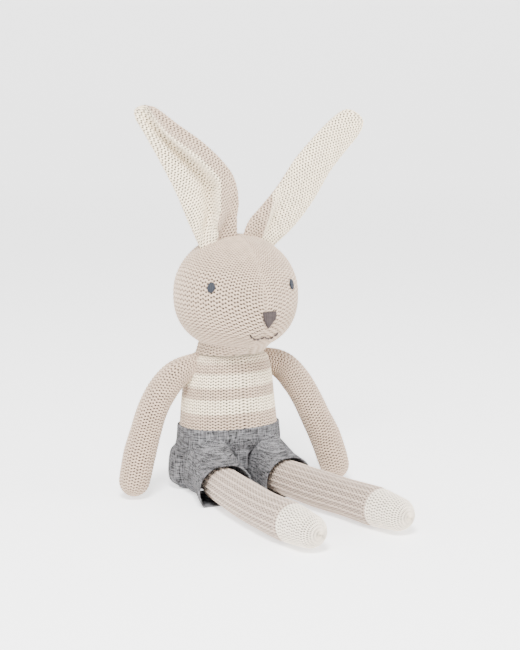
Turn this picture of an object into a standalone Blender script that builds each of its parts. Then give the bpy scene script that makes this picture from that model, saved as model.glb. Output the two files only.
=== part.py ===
"""A seated stuffed bunny rabbit with knitted skins, padded ears and cloth shorts.

The toy faces -Y and sits on the floor at z = 0, with its own left side towards +X.
Every knitted or cloth piece is a thin panel, and every sewn limb has its stuffing inside.
Sizes below are in millimetres and become metres when the meshes are made.
"""

import math

import bmesh
import bpy
import numpy as np
from mathutils import Vector

MM = 0.001

# Cloth, knit and the room left between sewn pieces
KNIT = 1.8
CLOTH = 1.0
GAP = 0.3
FLOOR = GAP + CLOTH
STUFFING_INSET = KNIT + 3 * GAP
THREAD = 0.8

# Legs: centre line on the floor as (x, y), its height, and the radius from hip to toe
LEG_RIGHT_PATH = ((-26.0, -22.0), (-29.0, -42.0), (-32.5, -82.0), (-34.0, -118.0),
                  (-32.5, -148.0), (-29.0, -181.0))
LEG_LEFT_PATH = ((19.0, -22.0), (21.0, -44.0), (27.0, -88.0), (33.0, -118.0),
                 (37.5, -145.0), (43.0, -175.0))
LEG_HEIGHTS = (14.0, 14.0, 13.8, 13.8, 13.9, 13.2)
LEG_RADII = (12.3, 12.6, 12.9, 12.6, 13.4, 10.0)
ANKLE_AT = 0.80

# Shorts leg: room around the thigh at the hip and the cuff, tube length, turned hem
HIP_EASE = 2.9
CUFF_EASE = 4.1
SHORTS_LEG_LENGTH = 27.0
HEM_LENGTH = 7.0
HEM_EXTRA = 0.8
SHORTS_LEG_RINGS = 5
SHORTS_HIP_RADIUS = LEG_RADII[0] + HIP_EASE
SHORTS_CUFF_RADIUS = LEG_RADII[2] + CUFF_EASE

# Torso: overall sizes. Each level is height, centre x, half width as a share of
# TORSO_HALF_WIDTH, front y, back y; trunk heights are shares of the way from lap to top.
TORSO_HEIGHT = 104.5
TORSO_HALF_WIDTH = 42.5
LAP_CLEARANCE = 2.2
LAP_HEIGHT = LEG_HEIGHTS[0] + SHORTS_CUFF_RADIUS + HEM_EXTRA + LAP_CLEARANCE
SEAT_LEVELS = (
    (FLOOR, -3.0, 0.047, 8.0, 12.0),
    (FLOOR, -3.0, 0.73, -1.5, 21.5),
    (FLOOR, -3.0, 0.80, -2.3, 23.0),
    (7.0, -2.5, 0.965, -3.5, 26.5),
    (15.0, -2.0, 1.0, -3.5, 28.0),
    (27.5, -2.0, 0.965, -3.5, 28.5),
)
TRUNK_LEVELS = (
    (0.0, -2.0, 0.929, -23.0, 28.0),
    (0.184, -2.5, 0.871, -26.0, 27.0),
    (0.44, -3.0, 0.831, -25.0, 25.5),
    (0.709, -3.0, 0.781, -23.5, 23.5),
    (0.879, -2.5, 0.718, -21.5, 21.0),
    (0.95, -2.5, 0.624, -18.0, 18.0),
    (0.993, -2.5, 0.329, -11.0, 10.0),
    (1.0, -2.5, 0.071, -3.0, 2.0),
)
FLAT_LEVELS = 3
WAIST_LEVEL = len(SEAT_LEVELS) + 1
CHEST_LEVEL = WAIST_LEVEL + 2
SHOULDER_LEVEL = WAIST_LEVEL + 3
BODY_SQUARENESS = 2.3
SIDE_SEAM_Y = 1.0

# Head: half sizes, the neck opening's radius and room above the torso, and the muzzle
HEAD_HALF = (45.6, 44.0, 42.0)
NECK_OPENING = 13.0
NECK_CLEARANCE = 2.2
NECK_RISE = 0.5
OPENING_TURN = math.acos(NECK_OPENING / HEAD_HALF[0])
OPENING_DROP = HEAD_HALF[2] * math.sin(OPENING_TURN)
HEAD_CENTRE = (0.6, -5.5, TORSO_HEIGHT + NECK_CLEARANCE + OPENING_DROP)
MUZZLE_DIRECTION = (0.05, -0.90, -0.42)
MUZZLE_RISE = 4.5
MUZZLE_SPREAD = 34.0
NECK_PIVOT = (-1.5, -3.0, TORSO_HEIGHT + NECK_RISE)
NECK_RADIUS = 8.0
NECK_BEVEL = 3.0
NECK_EDGE = 0.1
NECK_HALF_THICKNESS = 0.4

# Face, as (turn from the front towards +X, height above the middle) in degrees
EYE_SIZE = (3.1, 3.9)
EYE_LEFT_AT = (36.0, 10.0)
EYE_RIGHT_AT = (-49.5, 10.5)
NOSE_AT = (2.0, -17.5)
NOSE_SIZE = (6.4, 6.0)
MOUTH_AT = (0.0, -35.0)
MOUTH_HALF_WIDTH = 11.5
MOUTH_RISE = 2.6
EMBROIDERY = 0.9
NOSE_WAIST = 0.58
NOSE_POINT = 0.3

# Ears: outer and inner outline as (x, height above the crown), and the inner rim's fold
EAR_RIGHT_OUTER = ((-29.5, -8.0), (-39.0, 14.0), (-46.0, 30.0), (-58.0, 52.0),
                   (-70.5, 74.0), (-75.5, 86.0), (-69.5, 92.5))
EAR_RIGHT_INNER = ((-1.0, 0.5), (-3.0, 14.0), (-3.0, 25.0), (-9.0, 45.0),
                   (-28.0, 65.0), (-47.0, 79.0), (-69.5, 92.5))
EAR_LEFT_OUTER = ((33.0, -8.0), (50.0, 5.0), (66.0, 23.5), (79.0, 43.0),
                  (92.5, 58.0), (103.0, 70.0), (101.5, 87.5))
EAR_LEFT_INNER = ((4.0, 0.5), (9.0, 11.0), (20.5, 21.5), (35.0, 36.0),
                  (53.0, 57.0), (80.0, 81.0), (101.5, 87.5))
EAR_DEPTH = -6.0
EAR_HALF_THICKNESS = 4.3
EAR_BASE_CLEARANCE = 2.9
EAR_PIVOT_FORWARD = 2.2
EAR_PIVOT_RISE = 1.0
EAR_SEAT_ROWS = 3
EAR_TAPER_WIDTH = 14.0
EAR_ROUNDNESS = 2.6
EAR_FOLD_SHARPNESS = 1.4
EAR_NARROWEST = 0.25
EAR_RIGHT_FOLD = (3.0, 12.0, 12.0, 8.0, 0.0)
EAR_LEFT_FOLD = (3.0, 5.0, 1.0, 0.0, 0.0)

# Arms: centre line as (mm outward from the torso's side, y, share of the shoulder's height)
ARM_RIGHT_PATH = ((13.5, 0.0, 0.902), (24.5, 0.0, 0.784), (32.0, 0.0, 0.644),
                  (37.0, 0.0, 0.495), (41.5, 0.0, 0.345), (45.0, 0.0, 0.191),
                  (48.5, 0.0, 0.026))
ARM_LEFT_PATH = ((13.5, -2.0, 0.907), (24.0, -5.0, 0.784), (31.0, -9.0, 0.644),
                 (36.5, -13.0, 0.500), (42.0, -17.5, 0.350), (45.5, -22.5, 0.191),
                 (48.5, -27.0, 0.026))
ARM_RADII = (9.0, 10.0, 10.8, 10.8, 11.0, 11.6, 11.2, 10.0)
SHOULDER_HALF_HEIGHT = 11.0
SHOULDER_HALF_DEPTH = 7.0
SHOULDER_STAND_OFF = 2.4
SHOULDER_RISE = 1.0
SHOULDER_ROWS = 3
SHOULDER_BLEND = 1.6 * SHOULDER_HALF_HEIGHT
SHOULDER_SEAM_INSET = 1.0

AROUND = 18
HEAD_RINGS = 10
ARM_RINGS = 10
LEG_RINGS = 10
EAR_RINGS = 10
TIP_CROWDING = 1.8
DOME_LEANS = (60, 30)
COLOURS = {
    "beige_knit": (0.60, 0.51, 0.45),
    "cream_knit": (0.80, 0.75, 0.67),
    "leg_knit": (0.66, 0.59, 0.53),
    "shorts_cloth": (0.30, 0.29, 0.29),
    "stuffing": (0.88, 0.88, 0.86),
    "slate_thread": (0.10, 0.11, 0.14),
    "taupe_thread": (0.25, 0.20, 0.19),
    "seam_thread": (0.52, 0.42, 0.36),
}


def unit(vectors):
    lengths = np.linalg.norm(vectors, axis=-1, keepdims=True)
    return vectors / np.maximum(lengths, 1e-12)


def curve(points, count):
    """Samples of a smooth curve through the points, closer together towards its end."""
    points = np.array(points, float)
    if points.ndim == 1:
        points = points[:, None]
    padded = np.concatenate([2 * points[:1] - points[1:2], points, 2 * points[-1:] - points[-2:-1]])
    fine = []
    for first, start, end, last in zip(padded, padded[1:], padded[2:], padded[3:]):
        for step in np.arange(16) / 16:
            fine.append(0.5 * (2 * start + (end - first) * step
                               + (2 * first - 5 * start + 4 * end - last) * step ** 2
                               + (3 * start - first - 3 * end + last) * step ** 3))
    fine.append(points[-1])
    return resample(np.array(fine), count)


def resample(points, count):
    """The same polyline, its points drawn closer together towards its end."""
    steps = np.linalg.norm(np.diff(points, axis=0), axis=1)
    length = np.concatenate([[0], np.cumsum(steps)])
    even = np.linspace(0, 1, count)
    wanted = length[-1] * (1 - (1 - even) ** TIP_CROWDING)
    return np.stack([np.interp(wanted, length, column) for column in points.T], axis=1)


def grid_normals(grid):
    """Outward normals of rings that run counter-clockwise around their own direction."""
    along = np.gradient(grid, axis=0)
    around = np.roll(grid, -1, axis=1) - np.roll(grid, 1, axis=1)
    normals = unit(np.cross(around, along))
    for end, beside in ((0, 1), (-1, -2)):
        if np.ptp(grid[end], axis=0).max() < 1e-6:
            normals[end] = unit(normals[beside].mean(axis=0))
    return normals


def with_pole(grid, point, end):
    """The grid with a closed tip at one end."""
    tip = np.broadcast_to(np.array(point, float), grid[:1].shape)
    return np.concatenate([grid, tip] if end else [tip, grid])


def make_object(name, points, faces, colour, origin):
    """A closed mesh object whose origin lies on its joint axis."""
    mesh = bpy.data.meshes.new(name)
    shape = bmesh.new()
    verts = [shape.verts.new((Vector(point) - Vector(origin)) * MM) for point in points]
    for face in faces:
        shape.faces.new([verts[index] for index in face])
    bmesh.ops.remove_doubles(shape, verts=shape.verts, dist=1e-7)
    bmesh.ops.recalc_face_normals(shape, faces=shape.faces)
    shape.to_mesh(mesh)
    shape.free()
    thing = bpy.data.objects.new(name, mesh)
    thing.location = Vector(origin) * MM
    thing.data.materials.append(bpy.data.materials[colour])
    for polygon in mesh.polygons:
        polygon.use_smooth = True
    bpy.context.scene.collection.objects.link(thing)
    return thing


def patch_faces(rows, columns, wrap, offset, flip):
    """Triangles of a grid of points, cut the same way in every layer."""
    faces = []
    for row in range(rows - 1):
        for column in range(columns if wrap else columns - 1):
            beside = (column + 1) % columns
            quad = [row * columns + column, row * columns + beside,
                    (row + 1) * columns + beside, (row + 1) * columns + column]
            for corners in ((0, 1, 2), (0, 2, 3)):
                triangle = [offset + quad[corner] for corner in corners]
                faces.append(triangle[::-1] if flip else triangle)
    return faces


def shell(name, outer, inner, colour, origin, wrap=True):
    """A panel between two grids, closed by a wall along every open edge."""
    rows, columns = outer.shape[:2]
    layer = rows * columns
    faces = patch_faces(rows, columns, wrap, 0, False)
    faces += patch_faces(rows, columns, wrap, layer, True)
    for row in (0, rows - 1):
        for column in range(columns if wrap else columns - 1):
            first, second = row * columns + column, row * columns + (column + 1) % columns
            faces.append([first, second, layer + second, layer + first])
    if not wrap:
        for column in (0, columns - 1):
            for row in range(rows - 1):
                first, second = row * columns + column, (row + 1) * columns + column
                faces.append([first, second, layer + second, layer + first])
    points = np.concatenate([outer.reshape(-1, 3), inner.reshape(-1, 3)])
    distinct = [face for face in faces if len({tuple(points[i].round(6)) for i in face}) > 2]
    return make_object(name, points, distinct, colour, origin)


def solid(name, grid, colour, origin):
    """A closed body between two tips or flat ends."""
    rows, columns = grid.shape[:2]
    faces = patch_faces(rows, columns, True, 0, False)
    for row in (0, rows - 1):
        if np.ptp(grid[row], axis=0).max() > 1e-6:
            for rung in range(columns // 2):
                loop = (rung, rung + 1, columns - rung - 1, (columns - rung) % columns)
                faces.append([row * columns + column for column in dict.fromkeys(loop)])
    points = grid.reshape(-1, 3)
    distinct = [face for face in faces if len({tuple(points[i].round(6)) for i in face}) > 2]
    return make_object(name, points, distinct, colour, origin)


def split(thing, name_low, name_high, at, direction):
    """Cut a panel in two along a seam plane and leave the sewing gap open."""
    for name, side in ((name_low, -1), (name_high, 1)):
        half = thing.copy()
        half.data = thing.data.copy()
        half.name = half.data.name = name
        bpy.context.scene.collection.objects.link(half)
        shape = bmesh.new()
        shape.from_mesh(half.data)
        normal = Vector(direction) * side
        plane = (Vector(at) + normal * GAP / 2) * MM - half.location
        geometry = shape.verts[:] + shape.edges[:] + shape.faces[:]
        bmesh.ops.bisect_plane(shape, geom=geometry, dist=1e-8, plane_co=plane,
                               plane_no=-normal, clear_outer=True)
        rim = [edge for edge in shape.edges if edge.is_boundary]
        bmesh.ops.holes_fill(shape, edges=rim)
        bmesh.ops.recalc_face_normals(shape, faces=shape.faces)
        shape.to_mesh(half.data)
        shape.free()
    bpy.data.objects.remove(thing)


def ring(angles, squareness):
    """Cosine and sine of a rounded-square ring."""
    cosine, sine = np.cos(angles), np.sin(angles)
    power = 2 / squareness
    return (np.sign(cosine) * np.abs(cosine) ** power, np.sign(sine) * np.abs(sine) ** power)


def torso_grid():
    """Rings of the torso from the seat up to the neck."""
    angles = 2 * math.pi * (np.arange(AROUND) + 0.5) / AROUND
    across, deep = ring(angles, BODY_SQUARENESS)
    climb = TORSO_HEIGHT - LAP_HEIGHT
    trunk = [(LAP_HEIGHT + share * climb, *level) for share, *level in TRUNK_LEVELS]
    rows = []
    for height, centre, width, front, back in (*SEAT_LEVELS, *trunk):
        x = centre + width * TORSO_HALF_WIDTH * across
        y = (front + back) / 2 + (back - front) / 2 * deep
        rows.append(np.stack([x, y, np.full(AROUND, height)], axis=1))
    return np.array(rows)


def torso_offsets(grid):
    """How each point moves for one millimetre of thickness, mitred at the seat's edge."""
    normals = grid_normals(grid)
    normals[0] = (0, 0, -1)
    for row in range(1, FLAT_LEVELS):
        along = np.roll(grid[row], -1, axis=0) - np.roll(grid[row], 1, axis=0)
        normals[row] = unit(np.cross(along, (0, 0, 1.0))) + np.array((0, 0, -1.0))
    return normals


def head_point(directions):
    """Points on the head's skin in the given directions from its centre."""
    directions = unit(np.asarray(directions, float))
    radius = 1 / np.linalg.norm(directions / np.array(HEAD_HALF), axis=-1)
    facing = directions @ unit(np.array(MUZZLE_DIRECTION))
    away = np.degrees(np.arccos(np.clip(facing, -1, 1)))
    radius = radius + MUZZLE_RISE * np.exp(-(away / MUZZLE_SPREAD) ** 2)
    return np.array(HEAD_CENTRE) + directions * radius[..., None]


def face_direction(turn, height):
    """Direction from the head's centre towards a place on the face."""
    turn, height = np.radians(turn), np.radians(height)
    return np.stack([np.sin(turn) * np.cos(height), -np.cos(turn) * np.cos(height),
                     np.sin(height)], axis=-1)


def head_grid(count):
    """Rings of the head from the neck opening up to the crown."""
    heights = np.linspace(-OPENING_TURN, math.pi / 2, count)[:-1]
    angles = 2 * math.pi * (np.arange(AROUND) + 0.5) / AROUND
    rows = [np.stack([np.cos(angles) * math.cos(height), np.sin(angles) * math.cos(height),
                      np.full(AROUND, math.sin(height))], axis=1) for height in heights]
    crown = head_point((0, 0, 1))
    return with_pole(head_point(np.array(rows) * HEAD_HALF), crown, 1)


def face_patch(centre, offsets):
    """Skin points around a place on the face, offsets in millimetres right and up."""
    scale = 180 / math.pi / HEAD_HALF[1]
    turn = centre[0] + offsets[..., 0] * scale / math.cos(math.radians(centre[1]))
    return face_direction(turn, centre[1] + offsets[..., 1] * scale)


def embroider(name, centre, offsets, colour, wrap=True):
    """A raised patch of embroidery that follows the head's skin."""
    directions = face_patch(centre, offsets)
    skin = head_point(directions)
    outward = unit(skin - np.array(HEAD_CENTRE))
    low = skin + outward * GAP
    high = low + outward * EMBROIDERY
    return shell(name, high, low, colour, NECK_PIVOT, wrap)


def disc_offsets(outline, rows=3):
    """Offsets filling an outline from its middle to its edge."""
    shrink = np.linspace(0, 1, rows)[:, None, None]
    return shrink * outline[None]


def make_head():
    grid = head_grid(HEAD_RINGS)
    normals = grid_normals(grid)
    inner = grid - normals * KNIT
    skin = shell("head_skin", grid, inner, "beige_knit", NECK_PIVOT)
    split(skin, "head_panel_right", "head_panel_left", (HEAD_CENTRE[0], 0, 0), (1, 0, 0))
    core = grid - normals * STUFFING_INSET
    solid("head_stuffing", core, "stuffing", NECK_PIVOT)
    angles = np.linspace(0, 2 * math.pi, 12, endpoint=False)
    oval = np.stack([EYE_SIZE[0] * np.cos(angles), EYE_SIZE[1] * np.sin(angles)], axis=1)
    embroider("eye_left", EYE_LEFT_AT, disc_offsets(oval), "slate_thread")
    embroider("eye_right", EYE_RIGHT_AT, disc_offsets(oval), "slate_thread")
    nose = np.array([nose_edge(angle) for angle in angles])
    embroider("nose", NOSE_AT, disc_offsets(nose), "taupe_thread")
    side = np.linspace(-1, 1, 13)
    smile = MOUTH_RISE * np.abs(np.sin(side * math.pi)) * -1 + MOUTH_RISE * side ** 4
    line = np.stack([MOUTH_HALF_WIDTH * side, smile], axis=1)
    band = np.stack([line - [0, THREAD / 2], line + [0, THREAD / 2]])
    embroider("mouth", MOUTH_AT, band, "taupe_thread", wrap=False)


def nose_edge(angle):
    """A rounded triangle with a flat top edge and its point down."""
    half_width, half_height = NOSE_SIZE[0], NOSE_SIZE[1]
    rise = math.sin(angle)
    narrowing = NOSE_WAIST + (1 - NOSE_WAIST) * rise
    return half_width * math.cos(angle) * max(narrowing, NOSE_POINT), half_height * rise


def make_neck():
    angles = 2 * math.pi * np.arange(AROUND) / AROUND
    rows = []
    narrow = NECK_RADIUS - NECK_BEVEL
    for height, radius in ((-NECK_HALF_THICKNESS, narrow), (-NECK_EDGE, NECK_RADIUS),
                           (NECK_EDGE, NECK_RADIUS), (NECK_HALF_THICKNESS, narrow)):
        rows.append(np.stack([NECK_PIVOT[0] + radius * np.cos(angles),
                              NECK_PIVOT[1] + radius * np.sin(angles),
                              np.full(AROUND, NECK_PIVOT[2] + height)], axis=1))
    solid("neck_stuffing", np.array(rows), "stuffing", NECK_PIVOT)


def make_torso():
    grid = torso_grid()
    normals = torso_offsets(grid)
    skin = shell("torso_skin", grid, grid - normals * KNIT, "cream_knit", (0, 0, 0))
    split(skin, "torso_panel_front", "torso_panel_back", (0, SIDE_SEAM_Y, 0), (0, 1, 0))
    solid("torso_stuffing", grid - normals * STUFFING_INSET, "stuffing", (0, 0, 0))
    cloth, lift = grid[:WAIST_LEVEL + 1], normals[:WAIST_LEVEL + 1]
    seat = cloth[0].mean(axis=0)
    cloth = with_pole(cloth, seat, 0)
    lift = with_pole(lift, (0, 0, -1), 0)
    trunk = shell("shorts_trunk", cloth + lift * (GAP + CLOTH), cloth + lift * GAP,
                  "shorts_cloth", (0, 0, 0))
    split(trunk, "shorts_seat_right", "shorts_seat_left", (SEAT_LEVELS[0][1], 0, 0), (1, 0, 0))
    waist, outward = grid[WAIST_LEVEL], normals[WAIST_LEVEL]
    rise = unit(grid[WAIST_LEVEL + 1] - waist)
    band = waist + rise * np.array([GAP, GAP + THREAD])[:, None, None]
    shell("waist_thread", band + outward * (GAP + THREAD), band + outward * GAP,
          "seam_thread", (0, 0, 0))


def tube_grid(path, radii, rows, start_tip, end_tip, first_plane=None):
    """Rings along a centre line, with rounded tips where asked."""
    spine = curve(path, rows)
    reach = np.concatenate([[0], np.cumsum(np.linalg.norm(np.diff(spine, axis=0), axis=1))])
    radius = np.interp(reach / reach[-1], np.linspace(0, 1, len(radii)), radii)
    if end_tip:
        left = (reach[-1] - reach) / radius[-1]
        radius = radius * np.sqrt(np.clip(1 - (1 - np.clip(left, 0, 1)) ** 2, 0, 1))
    tangent = unit(np.gradient(spine, axis=0))
    if first_plane is not None:
        weight = np.clip(1 - reach / SHOULDER_BLEND, 0, 1)[:, None]
        tangent = unit(tangent * (1 - weight) + np.array(first_plane) * weight)
    up = np.array([0, 0, 1.0])
    side = unit(np.cross(up, tangent))
    across = np.cross(tangent, side)
    angles = 2 * math.pi * np.arange(AROUND) / AROUND
    circle = (np.cos(angles)[:, None, None] * side + np.sin(angles)[:, None, None] * across)
    grid = spine[:, None] + np.transpose(circle, (1, 0, 2)) * radius[:, None, None]
    if start_tip:
        dome = hip_dome(spine[0], tangent[0], side[0], across[0], radius[0], angles)
        grid = np.concatenate([dome, grid])
    return grid


def hip_dome(centre, tangent, side, across, radius, angles):
    """The rounded back end of a thigh, centred on the hip's hinge."""
    rows = []
    for lean in np.radians(DOME_LEANS):
        rim = centre - tangent * radius * math.sin(lean)
        rows.append(rim + (np.cos(angles)[:, None] * side + np.sin(angles)[:, None] * across)
                    * radius * math.cos(lean))
    return np.array(rows)


def close_tip(grid, end):
    """Swap the last ring for a single tip point."""
    rim = grid[-1] if end else grid[0]
    body = grid[:-1] if end else grid[1:]
    return with_pole(body, rim.mean(axis=0), end)


def make_arm(side, path):
    outward = 1.0 if side == "left" else -1.0
    chest, top = (TRUNK_LEVELS[level - len(SEAT_LEVELS)] for level in (CHEST_LEVEL, SHOULDER_LEVEL))
    climb = TORSO_HEIGHT - LAP_HEIGHT
    lean = math.atan2((chest[2] - top[2]) * TORSO_HALF_WIDTH, (top[0] - chest[0]) * climb)
    facing = np.array([outward * math.cos(lean), 0, math.sin(lean)])
    surface = top[1] + outward * top[2] * TORSO_HALF_WIDTH
    shoulder = LAP_HEIGHT + top[0] * climb + SHOULDER_RISE
    seam = np.array([surface, 0, shoulder]) + facing * SHOULDER_STAND_OFF
    path = [seam + facing * GAP] + [np.array([surface + outward * out, y, share * shoulder])
                                    for out, y, share in path]
    grid = tube_grid(path, ARM_RADII, ARM_RINGS, False, True, facing)
    grid = flatten_shoulder(grid, seam, facing)
    grid = close_tip(grid, 1)
    normals = grid_normals(grid)
    normals[0] = unit(normals[0] - facing * (normals[0] @ facing)[:, None])
    pivot = tuple(seam + np.array([0, 0, SHOULDER_HALF_HEIGHT]))
    shell(f"arm_{side}_skin", grid, grid - normals * KNIT, "beige_knit", pivot)
    core = (grid - normals * STUFFING_INSET)[1:]
    solid(f"arm_{side}_stuffing", core, "stuffing", pivot)
    make_shoulder(side, seam - facing * (GAP + THREAD), facing)


def flatten_shoulder(grid, seam, facing):
    """Press the first rings into the oval that is sewn along the torso's side."""
    shaped = grid.copy()
    for row in range(SHOULDER_ROWS):
        weight = (1 - row / SHOULDER_ROWS) ** 1.5
        centre = grid[row].mean(axis=0)
        offset = grid[row] - centre
        height = np.linalg.norm(offset, axis=1).max()
        deep = offset[:, 1] * (1 + weight * (SHOULDER_HALF_DEPTH / height - 1))
        tall = 1 + weight * (SHOULDER_HALF_HEIGHT / height - 1)
        shaped[row, :, 0] = centre[0] + offset[:, 0] * tall
        shaped[row, :, 1] = centre[1] + deep
        shaped[row, :, 2] = centre[2] + offset[:, 2] * tall
    return shaped


def make_shoulder(side, centre, facing):
    """The ring of seam thread between the torso and the arm."""
    angles = 2 * math.pi * np.arange(AROUND) / AROUND
    across = np.array([0, 1.0, 0])
    up = np.cross(facing, across) * -1
    up = up if up[2] > 0 else -up
    half_depth = SHOULDER_HALF_DEPTH - SHOULDER_SEAM_INSET
    half_height = SHOULDER_HALF_HEIGHT - SHOULDER_SEAM_INSET
    oval = np.cos(angles)[:, None] * across * half_depth + np.sin(angles)[:, None] * up * half_height
    rows = []
    for turn in np.radians(np.arange(0, 360, 90)):
        reach = 1 + THREAD / 2 * math.cos(turn) / SHOULDER_HALF_DEPTH
        lift = facing * (THREAD / 2 * (1 + math.sin(turn)))
        rows.append(centre + lift + reach * oval)
    torus = np.array(rows)
    faces = patch_faces(len(torus), AROUND, True, 0, False)
    last = (len(torus) - 1) * AROUND
    faces += [[last + column, last + (column + 1) % AROUND, (column + 1) % AROUND, column]
              for column in range(AROUND)]
    make_object(f"shoulder_{side}_thread", torus.reshape(-1, 3), faces, "seam_thread",
                tuple(centre))


def make_leg(side, path):
    path = [(*place, height) for place, height in zip(path, LEG_HEIGHTS)]
    hip = path[0]
    grid = tube_grid(path, LEG_RADII, LEG_RINGS, True, True)
    grid = close_tip(grid, 1)
    grid[..., 2] = np.maximum(grid[..., 2], FLOOR)
    normals = grid_normals(grid)
    travelled = np.linalg.norm(grid.mean(axis=1) - np.array(hip), axis=1)
    ankle = int(np.searchsorted(travelled, ANKLE_AT * travelled[-1]))
    inner = grid - normals * KNIT
    step = unit(grid[ankle] - grid[ankle - 1]) * GAP / 2
    shank, shank_inner = grid[:ankle + 1].copy(), inner[:ankle + 1].copy()
    foot, foot_inner = grid[ankle:].copy(), inner[ankle:].copy()
    shank[-1] -= step
    shank_inner[-1] -= step
    foot[0] += step
    foot_inner[0] += step
    shell(f"leg_{side}_skin", shank, shank_inner, "leg_knit", hip)
    shell(f"foot_{side}_skin", foot, foot_inner, "cream_knit", hip)
    solid(f"leg_{side}_stuffing", (grid - normals * STUFFING_INSET), "stuffing", hip)
    make_shorts_leg(side, path)


def make_shorts_leg(side, path):
    """The cloth tube around a thigh, with a turned hem at its cuff."""
    spine = curve(path, 200)
    reach = np.concatenate([[0], np.cumsum(np.linalg.norm(np.diff(spine, axis=0), axis=1))])
    share = SHORTS_LEG_LENGTH / reach[-1]
    length = np.linspace(0, share, SHORTS_LEG_RINGS)
    centre = np.stack([np.interp(length * reach[-1], reach, column) for column in spine.T], axis=1)
    tangent = unit(np.gradient(centre, axis=0))
    across = unit(np.cross((0, 0, 1.0), tangent))
    up = np.cross(tangent, across)
    angles = 2 * math.pi * np.arange(AROUND) / AROUND
    circle = (np.cos(angles)[None, :, None] * across[:, None]
              + np.sin(angles)[None, :, None] * up[:, None])
    radius = np.linspace(SHORTS_HIP_RADIUS, SHORTS_CUFF_RADIUS, SHORTS_LEG_RINGS)[:, None, None]
    hem = (length * reach[-1] > SHORTS_LEG_LENGTH - HEM_LENGTH)[:, None, None] * HEM_EXTRA
    outer = centre[:, None] + circle * (radius + hem)
    inner = centre[:, None] + circle * (radius - CLOTH)
    cap = hip_dome(centre[0], tangent[0], across[0], up[0], SHORTS_HIP_RADIUS, angles)[1:]
    cap_inner = hip_dome(centre[0], tangent[0], across[0], up[0],
                         SHORTS_HIP_RADIUS - CLOTH, angles)[1:]
    outer = np.concatenate([cap, outer])
    inner = np.concatenate([cap_inner, inner])
    outer[..., 2] = np.maximum(outer[..., 2], 0.0)
    inner[..., 2] = np.maximum(inner[..., 2], CLOTH)
    shell(f"shorts_leg_{side}", outer, inner, "shorts_cloth", tuple(path[0]))


def ear_grid(outer, inner, folds, rows, inset=0.0):
    """Rings of a padded ear, starting at the outer rim and passing over its back first."""
    outer_line, inner_line = curve(outer, rows), curve(inner, rows)
    share = 1 - (1 - np.linspace(0, 1, rows)) ** TIP_CROWDING
    fold = np.interp(share, np.linspace(0, 1, len(folds)), folds)
    half = AROUND // 2
    place = -np.cos(np.linspace(0, math.pi, half + 1))
    grid = []
    for row in range(rows):
        start = np.array([outer_line[row, 0], EAR_DEPTH, outer_line[row, 1]])
        end = np.array([inner_line[row, 0], EAR_DEPTH, inner_line[row, 1]])
        width = np.linalg.norm(end - start)
        reach = place * max(1 - 2 * inset / max(width, 1e-6), EAR_NARROWEST)
        middle = start + (end - start) * (reach[:, None] + 1) / 2
        middle[:, 1] -= fold[row] * np.clip(reach, 0, 1) ** EAR_FOLD_SHARPNESS
        tangent = unit(np.gradient(middle, axis=0) + unit(end - start) * 1e-6)
        upward = unit(np.cross(unit(end - start), (0, 1.0, 0)))
        backward = unit(np.cross(upward, tangent))
        backward *= np.sign(backward[:, 1:2].sum() + 1e-9)
        thick = (EAR_HALF_THICKNESS - inset) * min(1, width / EAR_TAPER_WIDTH)
        bulge = thick * np.sqrt(np.clip(1 - np.abs(place) ** EAR_ROUNDNESS, 0, 1))[:, None]
        back, front = middle + backward * bulge, middle - backward * bulge
        grid.append(np.concatenate([back, front[-2:0:-1]]))
    return np.array(grid)


def seat_ear(grid):
    """Fit the base of an ear to the crown of the head, a little above it."""
    seated = grid.copy()
    for row in range(EAR_SEAT_ROWS):
        weight = (1 - row / EAR_SEAT_ROWS) ** 2
        outward = unit(grid[row] - np.array(HEAD_CENTRE))
        target = head_point(outward) + outward * EAR_BASE_CLEARANCE
        shift = np.linalg.norm(target - np.array(HEAD_CENTRE), axis=1) - np.linalg.norm(
            grid[0] - np.array(HEAD_CENTRE), axis=1)
        seated[row] += unit(grid[0] - np.array(HEAD_CENTRE)) * shift[:, None] * weight
    return seated


def make_ear(side, outer, inner, folds):
    crown = HEAD_CENTRE[2] + HEAD_HALF[2]
    outer = [(x, crown + rise) for x, rise in outer]
    inner = [(x, crown + rise) for x, rise in inner]
    turned = side == "right"
    layers = []
    for inset in (0.0, KNIT, STUFFING_INSET):
        grid = ear_grid(outer, inner, folds, EAR_RINGS, inset)
        if turned:
            grid = np.roll(grid[:, ::-1], 1, axis=1)
        layers.append(seat_ear(grid)[:-1])
    grid, inside, core = layers
    pivot = ((outer[0][0] + inner[0][0]) / 2, EAR_DEPTH - EAR_PIVOT_FORWARD,
             (outer[0][1] + inner[0][1]) / 2 + EAR_PIVOT_RISE)
    half = AROUND // 2
    columns = np.arange(half + 1)
    back_columns, front_columns = columns, (columns + half) % AROUND
    if turned:
        back_columns, front_columns = front_columns, back_columns
    for name, chosen, colour in (("front", front_columns, "cream_knit"),
                                 ("back", back_columns, "beige_knit")):
        skin, lining = grid[:, chosen].copy(), inside[:, chosen].copy()
        for layer in (skin, lining):
            layer[:, 0] += unit(layer[:, 1] - layer[:, 0]) * GAP / 2
            layer[:, -1] += unit(layer[:, -2] - layer[:, -1]) * GAP / 2
        shell(f"ear_{side}_{name}", skin, lining, colour, pivot, wrap=False)
    solid(f"ear_{side}_wadding", core[:-1], "stuffing", pivot)


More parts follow.
